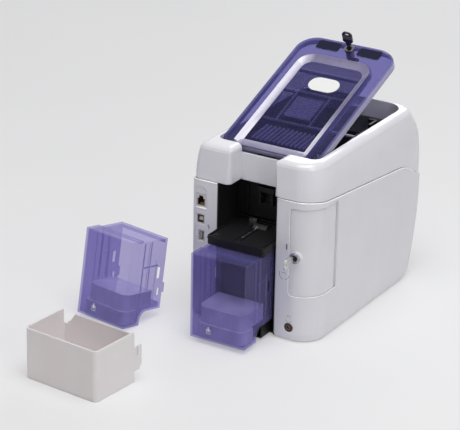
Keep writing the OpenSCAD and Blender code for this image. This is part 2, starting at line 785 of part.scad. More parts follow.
module hopper_platform() {
  t = hopper_t;
  w = hopper_w;
  translate([0, 0, t]) linear_extrude(height = 20) outline4(t + 1.5, t + 1.5, w - t - 1.5, step_y - t - 0.4, 14, 14, 0.5, 0.5);
  translate([0, 0, step_z + t + 0.3]) linear_extrude(height = 24) difference() {
    outline4(t + 5, 8, w - t - 5, 64, 13, 13, 0.5, 0.5);
    outline4(t + 7, 10, w - t - 7, 70, 11, 11, 0.5, 0.5);
  }
  translate([0, 0, step_z + t + 22.3]) linear_extrude(height = 2) outline4(t + 5, 8, w - t - 5, 64, 13, 13, 0.5, 0.5);
  translate([0, 0, t + 20]) linear_extrude(height = 0.4) outline4(t + 5, 8, w - t - 5, step_y - t - 0.4, 13, 13, 0.5, 0.5);
  for (x = [w * 0.3, w * 0.5, w * 0.7]) slab([x - 0.7, 6.8, step_z + t], [x + 0.7, 8.1, step_z + t + 18]);
}

module at_mounted() {
  place() translate([cx0, -hopper_d + 2, hopper_z]) children();
}

module at_loose() {
  place() translate([-238.2, -91.2, step_y * sin(9.4)]) rotate([0, 0, -9.3]) rotate([-9.4, 0, 0]) children();
}

module output_hopper() {
  color([0.36, 0.33, 0.72, 0.5]) at_mounted() hopper_shell();
}

module output_platform() {
  color([0.4, 0.38, 0.75, 0.6]) at_mounted() hopper_platform();
}

module input_hopper() {
  color([0.36, 0.33, 0.72, 0.5]) at_loose() hopper_shell();
}

module input_platform() {
  color([0.4, 0.38, 0.75, 0.6]) at_loose() hopper_platform();
}

module card_tray() {
  t = 2.2;
  color([0.9, 0.88, 0.86]) place() translate([-184.6, -296.5, 0]) rotate([0, 0, -5.9]) difference() {
    union() {
      difference() {
        linear_extrude(height = tray_h) outline4(0, 0, tray_w, tray_d, 7, 7, 2.5, 2.5);
        translate([0, 0, t]) linear_extrude(height = tray_h) outline4(t, t, tray_w - t, tray_d - t, 5, 5, 1, 1);
      }
      // side ears with hook slots
      for (x = [0, tray_w - t]) slab([x, tray_d - 3, 16], [x + t, tray_d + 14, 52]);
    }
    for (x = [-1, tray_w - t - 1]) {
      slab([x, tray_d + 4, 38], [x + t + 2, tray_d + 7, 60]);
      translate([x, tray_d + 14, 14]) rotate([45, 0, 0]) cube([t + 2, 6, 6], center = false);
    }
    // lower back wall, dropped further at the left end
    slab([-1, tray_d - t - 0.6, tray_h - 4], [tray_w + 1, tray_d + 20, tray_h + 1]);
    translate([0, tray_d + 5, 0]) rotate([90, 0, 0]) linear_extrude(height = 9)
      polygon([[-1, 54], [9, 54], [22, tray_h - 3], [22, tray_h + 2], [-1, tray_h + 2]]);
  }
}

module network_jack() {
  color([0.62, 0.62, 0.63]) place() difference() {
    slab([port_x - 8, 1, lan_z], [port_x + 8, 22, lan_z + 19.8]);
    slab([port_x - 6, -1, lan_z + 2.5], [port_x + 6, 15, lan_z + 13]);
    slab([port_x - 3.4, -1, lan_z + 12], [port_x + 3.4, 15, lan_z + 17]);
  }
}

module usb_b_jack() {
  color([0.7, 0.7, 0.71]) place() union() {
    difference() {
      slab([port_x - 6.2, 0.8, usb_b_z], [port_x + 6.2, 17, usb_b_z + 14]);
      slab([port_x - 5, -1, usb_b_z + 1.2], [port_x + 5, 12, usb_b_z + 12.8]);
    }
    slab([port_x - 2.8, 2.2, usb_b_z + 4.2], [port_x + 2.8, 12.5, usb_b_z + 9.6]);
  }
}

module usb_a_jack() {
  x = port_x + 1.8;
  color([0.7, 0.7, 0.71]) place() union() {
    difference() {
      slab([x - 5, 0.8, usb_a_z], [x + 5, 17, usb_a_z + 16.2]);
      slab([x - 3.4, -1, usb_a_z + 1.4], [x + 3.4, 13, usb_a_z + 14.8]);
    }
    slab([x - 2.4, 1.6, usb_a_z + 2.2], [x - 0.6, 13.5, usb_a_z + 14]);
  }
}

module power_jack() {
  color([0.1, 0.1, 0.1]) place() union() {
    difference() {
      union() {
        ycyl(power_in, 6.6, 0.2, 17);
        ycyl(power_in, 6.9, 0.2, 2);
      }
      ycyl(power_in, 3.1, -1, 12);
    }
    ycyl(power_in, 1.1, 2, 12.5);
  }
}

module main_board() {
  b = port_x + 9;
  color([0.07, 0.3, 0.16]) place() union() {
    slab([b, 3, usb_a_z - 18.2], [b + 1.6, 190, lan_z + 32]);
    // parts on the inner side
    for (k = [0 : 4]) slab([b + 1.5, 40 + 26 * k, usb_a_z - 2.2], [b + 4.5, 54 + 26 * k, usb_a_z + 11.8 + 6 * (k % 3)]);
    for (k = [0 : 3]) xcyl([50 + 30 * k, lan_z + 6], 5, b + 1.5, b + 12);
    slab([b + 1.5, 60, lan_z - 24], [b + 9, 100, lan_z - 16]);
  }
}

// Side plate of the mechanism, standing in Y and Z.
module plate_profile() {
  t = mech_top;
  difference() {
    polygon([[63, 12], [286, 12], [286, t - 12], [270, t], [238, t], [224, t - 24],
             [136, t - 24], [128, t - 16], [84, t - 16], [63, t - 34]]);
    rounded(78, 26, 100, 120, 6);
    rounded(142, 26, 198, 82, 8);
    rounded(208, 26, 264, 82, 8);
    rounded(180, 96, 214, 124, 6);
    for (p = [platen, feed_f, feed_b]) translate(p) circle(r = 3 + run_gap);
    for (p = [feed_f, feed_b]) translate([p[0], path_z + 6]) circle(r = 2.5 + run_gap);
    for (p = [supply, takeup]) translate(p) circle(r = 3.5 + run_gap);
    translate(head_ax) circle(r = 3 + run_gap);
    for (p = screw_points) translate(p) circle(r = 1.6);
  }
}
screw_points = [[70, 20], [276, 20], [276, mech_top - 28], [70, mech_top - 48]];

module chassis_left() {
  color([0.1, 0.1, 0.11]) place() along_x(plate_l - 2, plate_l) plate_profile();
}

module chassis_right() {
  color([0.1, 0.1, 0.11]) place() along_x(plate_r, plate_r + 2) difference() {
    plate_profile();
    translate(motor) circle(r = 5);
  }
}

module chassis_cross() {
  color([0.12, 0.12, 0.13]) place() difference() {
    union() {
      slab([plate_l, 66, 14], [plate_r, 281, 16.5]);
      slab([plate_l, 279.5, 14], [plate_r, 282, mech_top - 16]);
      slab([plate_l, 66, 16], [plate_r, 68, 124]);
      // card guides before and after the platen, two of them on webs
      slab([plate_l, 92, path_z - 3], [plate_r, 150, path_z - 1]);
      slab([plate_l, 94, 16], [plate_r, 96, path_z - 2]);
      slab([plate_l, 176, path_z - 3], [plate_r, 220, path_z - 1]);
      slab([plate_l, 200, 16], [plate_r, 202, path_z - 2]);
      slab([plate_l, 240, path_z - 3], [plate_r, 281, path_z - 1]);
      // film guide bars between small brackets
      for (y = [138, 188]) {
        xcyl([y, path_z + 9.5], 2, plate_l, plate_r);
        for (x = [plate_l, plate_r - 2]) slab([x, y - 2, path_z - 2], [x + 2, y + 2, path_z + 10]);
      }
      // screw blocks, the front ones on posts
      for (x = [plate_l, plate_r - 8]) {
        for (p = screw_points) slab([x, p[0] - 4, p[1] - 4.5], [x + 8, p[0] + 4, p[1] + 4]);
        slab([x, 66, 120], [x + 8, 68, mech_top - 48]);
      }
    }
    for (p = screw_points) xcyl(p, 1.45, plate_l - 1, plate_r + 1);
  }
}

module rear_post() {
  color([0.05, 0.05, 0.055]) place() union() {
    slab([plate_r + 2, 244, mech_top - 42], [plate_r + 16, 268, mech_top - 39]);
    slab([plate_r + 12, 244, path_z], [plate_r + 16, 266, body_h - 17]);
    slab([plate_r + 2, 264, path_z], [plate_r + 16, 268, body_h - 17]);
    slab([plate_r + 2, 258, path_z], [plate_r + 4, 268, mech_top - 2]);
  }
}

module print_head_arm() {
  h = head_ax[1];
  color([0.2, 0.2, 0.21]) place() difference() {
    union() {
      for (x = [plate_l + 4, plate_r - 6]) along_x(x, x + 2) union() {
        polygon([[248, h - 10], [258, h - 4], [258, h + 6], [246, h + 10], [170, h + 2], [156, h - 2],
                 [156, h - 18], [172, h - 18], [178, h - 12]]);
        translate(head_ax) circle(r = 8);
      }
      slab([plate_l + 4, 154, h - 16], [plate_r - 4, 174, h - 13]);
      slab([plate_l + 4, 172, h - 16], [plate_r - 4, 174, h]);
    }
    xcyl(head_ax, 3 + run_gap, plate_l, plate_r);
  }
}

module head_pin() {
  color([0.7, 0.7, 0.72]) place() union() {
    xcyl(head_ax, 3, plate_l - 4, plate_r + 4);
    xcyl(head_ax, 4.5, plate_r + 2, plate_r + 4);
    xcyl(head_ax, 4.5, plate_l - 4, plate_l - 2);
  }
}

module print_head() {
  color([0.55, 0.56, 0.58]) place() union() {
    slab([bay_x - 43, 158, path_z + 6], [bay_x + 43, 168, head_ax[1] - 16]);
    slab([bay_x - 43, 161, path_z + 2.2], [bay_x + 43, 165, path_z + 7]);
    for (z = [path_z + 14 : 6 : path_z + 50]) slab([bay_x - 42, 154.5, z], [bay_x + 42, 158.5, z + 1.6]);
  }
}

// Spool with wound film; wind is its radius.
module spool(p, wind, flange) {
  xcyl(p, 3.5, plate_l - 1.8, plate_r + 1.8);
  xcyl(p, 8.5, plate_l + 3, plate_r - 3);
  xcyl(p, wind, bay_x - 36.5, bay_x + 36.5);
  for (x = [bay_x - 39, bay_x + 36]) xcyl(p, flange, x, x + 3);
}

module supply_spool() {
  color([0.75, 0.6, 0.12]) place() spool(supply, 19, 21);
}

module take_up_spool() {
  color([0.12, 0.12, 0.13]) place() spool(takeup, 12, 16);
}

// Film from the supply spool under the guide bars and the print head.
module ribbon_film() {
  h = 0.3;
  run = [[supply[0] + 17.4, supply[1] - 10], [136.6, path_z + 6.4], [150, path_z + 1.4], [176, path_z + 1.4],
         [189, path_z + 6.6], [takeup[0] - 9.5, takeup[1] - 9]];
  color([0.3, 0.25, 0.1]) place() along_x(bay_x - 35, bay_x + 35)
    polygon(concat(run, [for (k = [5 : -1 : 0]) [run[k][0], run[k][1] + h]]));
}

// Rubber sleeve that turns with its shaft.
module sleeve(p, r) {
  difference() {
    xcyl(p, r, bay_x - 43, bay_x + 43);
    xcyl(p, 3, bay_x - 44, bay_x + 44);
  }
}

// Shaft with a belt pulley outside the right plate.
module driven_shaft(p, r) {
  xcyl(p, 3, plate_l - 3, belt_x + belt_w + 3);
  xcyl(p, r, belt_x, belt_x + belt_w);
  for (x = [belt_x - 1.2, belt_x + belt_w]) xcyl(p, r + 2.6, x, x + 1.2);
}

module platen_roller() {
  color([0.12, 0.12, 0.12]) place() sleeve(platen, 9);
}

module platen_shaft() {
  color([0.66, 0.67, 0.69]) place() driven_shaft(platen, 9);
}

module front_feed_roller() {
  color([0.2, 0.2, 0.2]) place() sleeve(feed_f, 6);
}

module front_feed_shaft() {
  color([0.66, 0.67, 0.69]) place() driven_shaft(feed_f, 6);
}

module rear_feed_roller() {
  color([0.2, 0.2, 0.2]) place() sleeve(feed_b, 6);
}

module rear_feed_shaft() {
  color([0.66, 0.67, 0.69]) place() driven_shaft(feed_b, 6);
}

module pinch(p) {
  xcyl([p[0], path_z + 6], 2.5, plate_l - 1.8, plate_r + 1.8);
  xcyl([p[0], path_z + 6], 5, bay_x - 40, bay_x + 40);
}

module front_pinch_roller() {
  color([0.6, 0.6, 0.62]) place() pinch(feed_f);
}

module rear_pinch_roller() {
  color([0.6, 0.6, 0.62]) place() pinch(feed_b);
}

module pick_roller() {
  color([0.14, 0.14, 0.14]) place() union() {
    xcyl(pick, 3, bay_l + 0.2, bay_r - 0.2);
    xcyl(pick, 9.5, bay_x - 11, bay_x + 11);
  }
}

module drive_motor() {
  color([0.3, 0.3, 0.31]) place() difference() {
    union() {
      xcyl(motor, 18, plate_r - 44, plate_r - 3);
      slab([plate_r - 3, motor[0] - 21, motor[1] - 21], [plate_r, motor[0] + 21, motor[1] + 21]);
    }
    xcyl(motor, 2.5 + run_gap, plate_r - 14, plate_r + 1);
  }
}

module motor_pulley() {
  color([0.7, 0.6, 0.3]) place() union() {
    xcyl(motor, 2.5, plate_r - 13, belt_x + belt_w + 2);
    xcyl(motor, 5, belt_x, belt_x + belt_w);
    for (x = [belt_x - 1.2, belt_x + belt_w]) xcyl(motor, 7.4, x, x + 1.2);
  }
}

// Outline of the belt loop, grown by g from the pulley rims.
module belt_loop(g) {
  hull() {
    translate(motor) circle(r = 5 + g);
    translate(feed_f) circle(r = 6 + g);
    translate(feed_b) circle(r = 6 + g);
  }
}

module drive_belt() {
  color([0.06, 0.06, 0.06]) place() along_x(belt_x + 0.5, belt_x + belt_w - 0.5) difference() {
    belt_loop(1.6);
    belt_loop(0.35);
  }
}

module chassis_screws() {
  color([0.7, 0.7, 0.72]) place() for (p = screw_points) {
    xcyl(p, 3, plate_r + 2, plate_r + 4);
    xcyl(p, 1.4, plate_r - 5, plate_r + 2.5);
    xcyl(p, 3, plate_l - 4, plate_l - 2);
    xcyl(p, 1.4, plate_l - 2.5, plate_l + 5);
  }
}

base_pan();
rubber_feet();
left_side_cover();
right_side_cover();
top_cover();
bay_frame();
card_shelf();
shelf_spring();
shelf_clip();
card_stops();
lid_shell();
lid_ribs();
lid_badge();
lid_hinge_pins();
lid_lock_barrel();
lid_lock_core();
lid_key();
access_door();
door_hinge_pin();
door_lock_barrel();
door_lock_core();
door_key();
output_hopper();
output_platform();
input_hopper();
input_platform();
card_tray();
network_jack();
usb_b_jack();
usb_a_jack();
power_jack();
main_board();
chassis_left();
chassis_right();
chassis_cross();
rear_post();
print_head_arm();
print_head();
head_pin();
supply_spool();
take_up_spool();
ribbon_film();
platen_roller();
platen_shaft();
front_feed_roller();
front_feed_shaft();
rear_feed_roller();
rear_feed_shaft();
front_pinch_roller();
rear_pinch_roller();
pick_roller();
drive_motor();
motor_pulley();
drive_belt();
chassis_screws();
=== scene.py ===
"""Looks of a desktop id card printer: finishes, edge beads, lid trim, socket inserts, printed marks and stage."""
import json
import math
import bmesh
import bpy
from mathutils import Matrix, Vector


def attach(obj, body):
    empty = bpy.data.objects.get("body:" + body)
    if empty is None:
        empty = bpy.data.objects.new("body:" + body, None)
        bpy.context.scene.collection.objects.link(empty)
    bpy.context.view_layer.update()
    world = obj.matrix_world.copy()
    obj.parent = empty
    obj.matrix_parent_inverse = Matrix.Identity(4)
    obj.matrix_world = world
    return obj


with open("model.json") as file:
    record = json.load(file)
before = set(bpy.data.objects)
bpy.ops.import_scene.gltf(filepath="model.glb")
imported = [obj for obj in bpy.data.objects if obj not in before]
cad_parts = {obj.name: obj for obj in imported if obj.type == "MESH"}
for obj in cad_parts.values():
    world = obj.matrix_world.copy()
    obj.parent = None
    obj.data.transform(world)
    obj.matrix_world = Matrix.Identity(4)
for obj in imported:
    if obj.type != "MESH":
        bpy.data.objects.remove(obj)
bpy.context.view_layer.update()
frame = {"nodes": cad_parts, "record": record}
nodes = frame["nodes"]

DEPTH = 170.5  # from the front plane to the frame's origin, in mm
LID_OPEN = math.radians(20.5)  # opening of the lid at rest
HINGE = (44.0, 262.0)  # lid hinge line, behind the front plane and above the floor, in mm


def at(x, y, z):
    """Point in mm from the front plane, as metres in the row frame."""
    return Vector((x, y - DEPTH, z)) / 1000


# ---------------------------------------------------------------- node trees
class Tree:
    """A node tree that is cleared and built anew."""

    def __init__(self, tree):
        self.tree = tree
        tree.nodes.clear()

    def add(self, kind, inputs=None, **props):
        """Node of a kind; an input takes a socket to link or a value to set."""
        node = self.tree.nodes.new(kind)
        for key, value in props.items():
            setattr(node, key, value)
        for key, value in (inputs or {}).items():
            if isinstance(value, bpy.types.NodeSocket):
                self.tree.links.new(value, node.inputs[key])
            else:
                node.inputs[key].default_value = value
        return node

    def math(self, kind, a, b=0.5, clamp=False):
        return self.add("ShaderNodeMath", {0: a, 1: b}, operation=kind, use_clamp=clamp).outputs[0]

    def seen(self):
        """1 on rays that show the background itself, straight, mirrored or through glass."""
        path = self.add("ShaderNodeLightPath").outputs
        return self.math("MAXIMUM", path["Is Camera Ray"],
                         self.math("MAXIMUM", path["Is Glossy Ray"], path["Is Transmission Ray"]))


finish = {}  # finished materials by name


class Finish(Tree):
    """A node material under construction."""

    def __init__(self, name):
        self.name = name
        self.mat = bpy.data.materials.new(name)
        self.mat.use_nodes = True
        super().__init__(self.mat.node_tree)
        self.coord = self.add("ShaderNodeTexCoord").outputs["Object"]
        self.flat = self.add("ShaderNodeNewGeometry").outputs["Normal"]

    def noise(self, size, detail=2.0, stretch=None):
        """Noise with features of about size metres, stretched by a factor on each axis."""
        coord = self.coord
        if stretch:
            coord = self.add("ShaderNodeMapping", {"Vector": coord, "Scale": stretch}).outputs[0]
        inputs = {"Vector": coord, "Scale": 1 / size, "Detail": detail}
        return self.add("ShaderNodeTexNoise", inputs).outputs["Fac"]

    def remap(self, value, low, high, to_low, to_high):
        return self.add("ShaderNodeMapRange", {
            "Value": value, "From Min": low, "From Max": high, "To Min": to_low, "To Max": to_high}).outputs[0]

    def spread(self, noise, to_low=0.0, to_high=1.0):
        """Noise spread from its usual span of 0.3 to 0.7."""
        return self.remap(noise, 0.3, 0.7, to_low, to_high)

    def mix(self, fac, a, b):
        node = self.add("ShaderNodeMix", data_type="RGBA")
        for socket, value in ((node.inputs[0], fac), (node.inputs[6], a), (node.inputs[7], b)):
            if isinstance(value, bpy.types.NodeSocket):
                self.tree.links.new(value, socket)
            else:
                socket.default_value = value if socket.type == "VALUE" else (*value, 1)
        return node.outputs[2]

    def vector(self, kind, a, b, output="Vector"):
        return self.add("ShaderNodeVectorMath", {0: a, 1: b}, operation=kind).outputs[output]

    def dot(self, a, b):
        return self.vector("DOT_PRODUCT", a, b, "Value")

    def axis(self, name):
        """Object coordinate along one axis, in metres."""
        return self.add("ShaderNodeSeparateXYZ", {0: self.coord}).outputs[name]

    def rounded(self, radius):
        """Normal that rounds sharp edges off."""
        return self.add("ShaderNodeBevel", {"Radius": radius}, samples=6).outputs[0]

    def edge(self, soft, gain):
        """Mask that is 1 along edges, from a rounded normal."""
        return self.math("MULTIPLY", self.math("SUBTRACT", 1.0, self.dot(soft, self.flat)), gain, clamp=True)

    def bump(self, height, distance, normal, strength=1.0):
        return self.add("ShaderNodeBump", {
            "Height": height, "Distance": distance, "Strength": strength, "Normal": normal}).outputs[0]

    def bsdf(self, color, rough, normal, **sockets):
        """Principled shader; a keyword such as Coat_Weight sets the input of that name."""
        inputs = {"Roughness": rough, "Normal": normal}
        inputs["Base Color"] = color if isinstance(color, bpy.types.NodeSocket) else (*color, 1)
        inputs.update({key.replace("_", " "): value for key, value in sockets.items()})
        return self.add("ShaderNodeBsdfPrincipled", inputs).outputs[0]

    def blend(self, fac, a, b):
        return self.add("ShaderNodeMixShader", {0: fac, 1: a, 2: b}).outputs[0]

    def close(self, shader):
        self.add("ShaderNodeOutputMaterial", {"Surface": shader})
        finish[self.name] = self.mat


# ---------------------------------------------------------------- finishes
def moulded(name, color, rough, grain=0.0008, depth=0.000006, wear_and_edge_highlight=0.1, radius=0.0008, **sockets):
    """Moulded plastic or rubber with fine grain, faint clouds, and paler edges: partly wear, partly a painted
    highlight.
    """
    f = Finish(name)
    soft = f.rounded(radius)
    body = f.mix(f.spread(f.noise(0.06, 3.0)), [c * 0.96 for c in color], color)
    # paler colour along edges by the given share: edge wear, and where the share is large, as on the housing, a
    # painted highlight
    body = f.mix(f.math("MULTIPLY", f.edge(soft, 4.0), wear_and_edge_highlight), body, [min(0.97, c * 1.15 + 0.03) for c in color])
    normal = f.bump(f.noise(grain), depth, soft)
    gloss = f.spread(f.noise(0.05), rough * 0.95, rough * 1.05)
    f.close(f.bsdf(body, gloss, normal, **sockets))


def metal(name, color, rough, stretch=(1, 1, 1)):
    """Metal with fine lines or grain and brighter edges."""
    f = Finish(name)
    soft = f.rounded(0.0003)
    lines = f.noise(0.0006, 3.0, stretch)
    body = f.mix(f.spread(lines), [c * 0.86 for c in color], color)
    body = f.mix(f.math("MULTIPLY", f.edge(soft, 4.0), 0.5), body, [min(1.0, c * 1.2) for c in color])
    gloss = f.spread(f.noise(0.004, 3.0), rough * 0.8, rough * 1.25)
    f.close(f.bsdf(body, gloss, f.bump(lines, 0.00001, soft), Metallic=1.0))


def clear(name, tint, color, milk, edge_highlight_color, rough=0.08, radius=0.0009, layers=None):
    """See-through coloured plastic with a glossy skin and edges painted brighter as a highlight.

    Each face lets the tint through and scatters color by the share milk. layers(f) gives rows of mask, color,
    share and tint: a row with a tint changes what passes, and a row without one what scatters.
    """
    f = Finish(name)
    soft = f.rounded(radius)
    rim = f.edge(soft, 2.0)
    flow = f.noise(0.035)
    # painted highlight: along edges the skin takes the brighter edge colour
    skin = f.mix(rim, f.mix(f.spread(flow), [c * 0.9 for c in color], color), edge_highlight_color)
    share = f.math("MAXIMUM", f.spread(flow, milk * 0.85, milk * 1.1), f.math("MULTIPLY", rim, 0.5))
    passed = tint
    for mask, layer_color, layer_share, layer_tint in layers(f) if layers else ():
        if layer_tint:
            passed = f.mix(mask, tint, layer_tint)
            share = f.math("MULTIPLY", share, f.remap(mask, 0.0, 1.0, 1.0, layer_share))
        else:
            skin = f.mix(mask, skin, layer_color)
            share = f.math("MAXIMUM", share, f.math("MULTIPLY", mask, layer_share))
    gloss = f.spread(f.noise(0.02, 3.0), rough * 0.8, rough * 1.3)
    wave = f.bump(f.noise(0.03, 1.0), 0.0001, soft, 0.3)
    # shadows are paler than the view through the plastic
    shadow = f.add("ShaderNodeLightPath").outputs["Is Shadow Ray"]
    passed = f.mix(shadow, passed, [c ** 0.45 for c in tint])
    solid = f.bsdf(skin, gloss, wave, IOR=1.49, Specular_IOR_Level=1.0, Coat_Weight=1.0, Coat_Roughness=0.04)
    through = f.add("ShaderNodeBsdfTransparent", {"Color": passed}).outputs[0]
    # faces seen at a glancing angle show more skin
    facing = f.add("ShaderNodeLayerWeight", {"Blend": 0.5, "Normal": wave}).outputs["Facing"]
    glance = f.math("MULTIPLY", f.math("POWER", facing, 4.0), 0.6)
    share = f.math("ADD", share, glance, clamp=True)
    share = f.math("MULTIPLY", share, f.remap(shadow, 0.0, 1.0, 1.0, 0.5))
    f.close(f.blend(share, through, solid))


# pattern of the lid's panel in metres: u runs across from the middle, v away from the hinge line
SLAT_U, SLAT_V = (-0.0421, 0.0442), (0.0202, 0.0535)
SLAT_START, SLAT_STEP, SLAT_SHARE = 0.042, 0.007, 0.42
SLAT_LEAN = math.tan(math.radians(14))
GRIP_U, GRIP_V, GRIP_STEP = (-0.022, 0.022), (0.0802, 0.1246), 0.0036
LINES_V = ((0.0656, 0.0684), (0.1356, 0.1384), (0.1836, 0.1864))
POST_U, POST_V = (0.0256, 0.0284), (0.067, 0.137)
# heights above the hinge line in metres: below the panel's face, and across the skirt
PANEL_TOP, SKIRT_LOW, SKIRT_HIGH = 0.0026, 0.0030, 0.0044
# where the bezel's painted highlight, a whiter and denser frosting, fades, in metres of the row frame
HIGHLIGHT_X, HIGHLIGHT_Y = (-0.056, -0.042), (-0.085, -0.015)


def from_hinge(f):
    """Object coordinates from the lid's hinge line."""
    return f.vector("SUBTRACT", f.coord, at(0, *HINGE))


def lid_height(f):
    """Height above the hinge line when the lid is shut, and the steepness of the face, 0 on upright faces."""
    up = (0, -math.sin(LID_OPEN), math.cos(LID_OPEN))
    normal = f.add("ShaderNodeVectorTransform", {"Vector": f.flat},
                   vector_type="NORMAL", convert_from="WORLD", convert_to="OBJECT").outputs[0]
    return f.dot(from_hinge(f), up), f.math("ABSOLUTE", f.dot(normal, up))


def between(f, value, span):
    """1 where value lies inside the span, else 0."""
    return f.math("MULTIPLY", f.math("GREATER_THAN", value, span[0]), f.math("LESS_THAN", value, span[1]))


def stripes(f, value, start, step, share):
    """1 on the first share of each step, else 0."""
    return f.math("LESS_THAN", f.math("FRACT", f.math("DIVIDE", f.math("SUBTRACT", value, start), step)), share)


def lid_pattern(f):
    """Paler frame lines, slanted slats and grip field of the lid's panel."""
    u = f.axis("X")
    v = f.dot(from_hinge(f), (0, math.cos(LID_OPEN), math.sin(LID_OPEN)))
    slant = f.math("SUBTRACT", u, f.math("MULTIPLY", f.math("SUBTRACT", v, SLAT_V[0]), SLAT_LEAN))
    comb = stripes(f, slant, -SLAT_START, SLAT_STEP, SLAT_SHARE)
    slats = f.math("MULTIPLY", between(f, slant, SLAT_U), between(f, v, SLAT_V))
    slats = f.math("MULTIPLY", slats, f.math("ADD", f.math("MULTIPLY", comb, 0.7), 0.25))
    fine = stripes(f, v, GRIP_V[0], GRIP_STEP, 0.5)
    grip = f.math("MULTIPLY", between(f, u, GRIP_U), between(f, v, GRIP_V))
    grip = f.math("MULTIPLY", grip, f.math("ADD", f.math("MULTIPLY", fine, 0.5), 0.5))
    lines = f.math("MULTIPLY", between(f, f.math("ABSOLUTE", u), POST_U), between(f, v, POST_V))
    for span in LINES_V:
        lines = f.math("MAXIMUM", lines, between(f, v, span))
    return f.math("MAXIMUM", f.math("MAXIMUM", slats, grip), f.math("MULTIPLY", lines, 0.75))


def rib_pattern(f):
    """The same pattern on the carrier sheet below the panel."""
    return ((lid_pattern(f), (0.40, 0.38, 0.80), 0.5, None),)


def lid_bands(f):
    """Deeper tint and mould pattern of the lid's panel, and the frosted skirt and step round it."""
    height, level = lid_height(f)
    wall = f.remap(level, 0.5, 0.85, 1.0, 0.0)
    skirt = f.remap(height, SKIRT_LOW, SKIRT_HIGH, 1.0, 0.35)
    panel = f.math("MULTIPLY", f.math("LESS_THAN", height, PANEL_TOP), f.math("GREATER_THAN", level, 0.9))
    pattern = f.math("MULTIPLY", lid_pattern(f), panel)
    return ((panel, None, 0.6, (0.30, 0.29, 0.46)),
            (pattern, (0.36, 0.34, 0.82), 0.13, None),
            (f.math("MULTIPLY", skirt, wall), (0.56, 0.53, 0.76), 0.5, None))


def bezel_painted_highlight(f):
    """Painted highlight: whiter, denser frosting on the left side and near the hinge."""
    left = f.remap(f.axis("X"), *HIGHLIGHT_X, 1.0, 0.0)
    near = f.remap(f.axis("Y"), *HIGHLIGHT_Y, 1.0, 0.0)
    streak = f.spread(f.noise(0.004, 3.0, (1, 0.08, 0.08)), 0.92, 1.0)
    return ((f.math("MULTIPLY", f.math("MAXIMUM", left, near), streak), (0.90, 0.88, 0.97), 0.92, None),)


# the housing and top housing lighten their edges strongly: a painted highlight along their rounded edges
moulded("housing", (0.80, 0.79, 0.83), 0.26, wear_and_edge_highlight=1.0, radius=0.003, Coat_Weight=0.35, Coat_Roughness=0.12)
moulded("top_housing", (0.81, 0.80, 0.845), 0.22, wear_and_edge_highlight=0.8, radius=0.0024, Coat_Weight=0.5, Coat_Roughness=0.1)
# bead finish paler than the housing: a painted highlight along the seams and the door's frame
moulded("bead", (0.95, 0.945, 0.965), 0.14, wear_and_edge_highlight=0.0, radius=0.0004, Coat_Weight=1.0, Coat_Roughness=0.08)
moulded("tray_plastic", (0.85, 0.80, 0.80), 0.42, grain=0.0012, depth=0.00001, wear_and_edge_highlight=0.25, radius=0.0012,
        Subsurface_Weight=0.5, Subsurface_Scale=0.006, Subsurface_Radius=(1.0, 0.85, 0.8))
clear("violet_clear", (0.72, 0.69, 0.87), (0.34, 0.32, 0.74), 0.10, (0.62, 0.59, 0.88), radius=0.0011)
clear("violet_lid", (0.47, 0.45, 0.70), (0.25, 0.24, 0.66), 0.08, (0.38, 0.36, 0.80), layers=lid_bands)
clear("violet_rib", (0.72, 0.70, 0.84), (0.10, 0.10, 0.22), 0.05, (0.16, 0.15, 0.30), layers=rib_pattern)
# the bezel's greyish frosting is partly real frost, partly a painted reflection at its far arch
clear("violet_frost", (0.60, 0.57, 0.80), (0.43, 0.40, 0.56), 0.42, (0.60, 0.57, 0.76), 0.3, layers=bezel_painted_highlight)
clear("violet_nose", (0.60, 0.57, 0.80), (0.56, 0.54, 0.70), 0.5, (0.74, 0.72, 0.88), 0.2)
clear("violet_insert", (0.88, 0.87, 0.94), (0.90, 0.89, 0.95), 0.75, (0.92, 0.91, 0.96))
moulded("black_plastic", (0.010, 0.010, 0.011), 0.42, wear_and_edge_highlight=0.05, Specular_IOR_Level=0.25)
moulded("dark_steel", (0.035, 0.035, 0.04), 0.4, wear_and_edge_highlight=0.3, Specular_IOR_Level=0.4)
moulded("white_badge", (0.90, 0.90, 0.89), 0.16, Coat_Weight=0.6, Coat_Roughness=0.05)
metal("lock_chrome", (0.62, 0.61, 0.61), 0.12)
metal("lock_dark", (0.045, 0.043, 0.045), 0.16)
# darker copy of the lock chrome: a painted dark reflection on the lid key and its barrel
metal("chrome_dark_reflection", (0.20, 0.19, 0.19), 0.1)
metal("steel", (0.60, 0.61, 0.63), 0.3, stretch=(0.1, 1, 1))
moulded("rubber", (0.03, 0.03, 0.03), 0.62, grain=0.0004, wear_and_edge_highlight=0.1)
metal("shield", (0.55, 0.54, 0.53), 0.3)
moulded("board_green", (0.03, 0.14, 0.07), 0.35, grain=0.003, depth=0.0001)
moulded("jack_black", (0.03, 0.03, 0.03), 0.4)
moulded("ribbon", (0.50, 0.36, 0.06), 0.2)
moulded("ribbon_dark", (0.03, 0.03, 0.035), 0.22)
metal("brass", (0.72, 0.55, 0.25), 0.25)
metal("head_metal", (0.50, 0.51, 0.53), 0.35)
moulded("ink_grey", (0.16, 0.15, 0.18), 0.5)
moulded("ink_white", (0.88, 0.88, 0.90), 0.5)
moulded("beige", (0.62, 0.55, 0.44), 0.45)
moulded("cavity", (0.035, 0.018, 0.014), 0.5)
metal("gold", (0.80, 0.58, 0.26), 0.25)
metal("copper", (0.26, 0.14, 0.10), 0.3)
moulded("shade", (0.008, 0.008, 0.034), 0.3, Specular_IOR_Level=0.1)

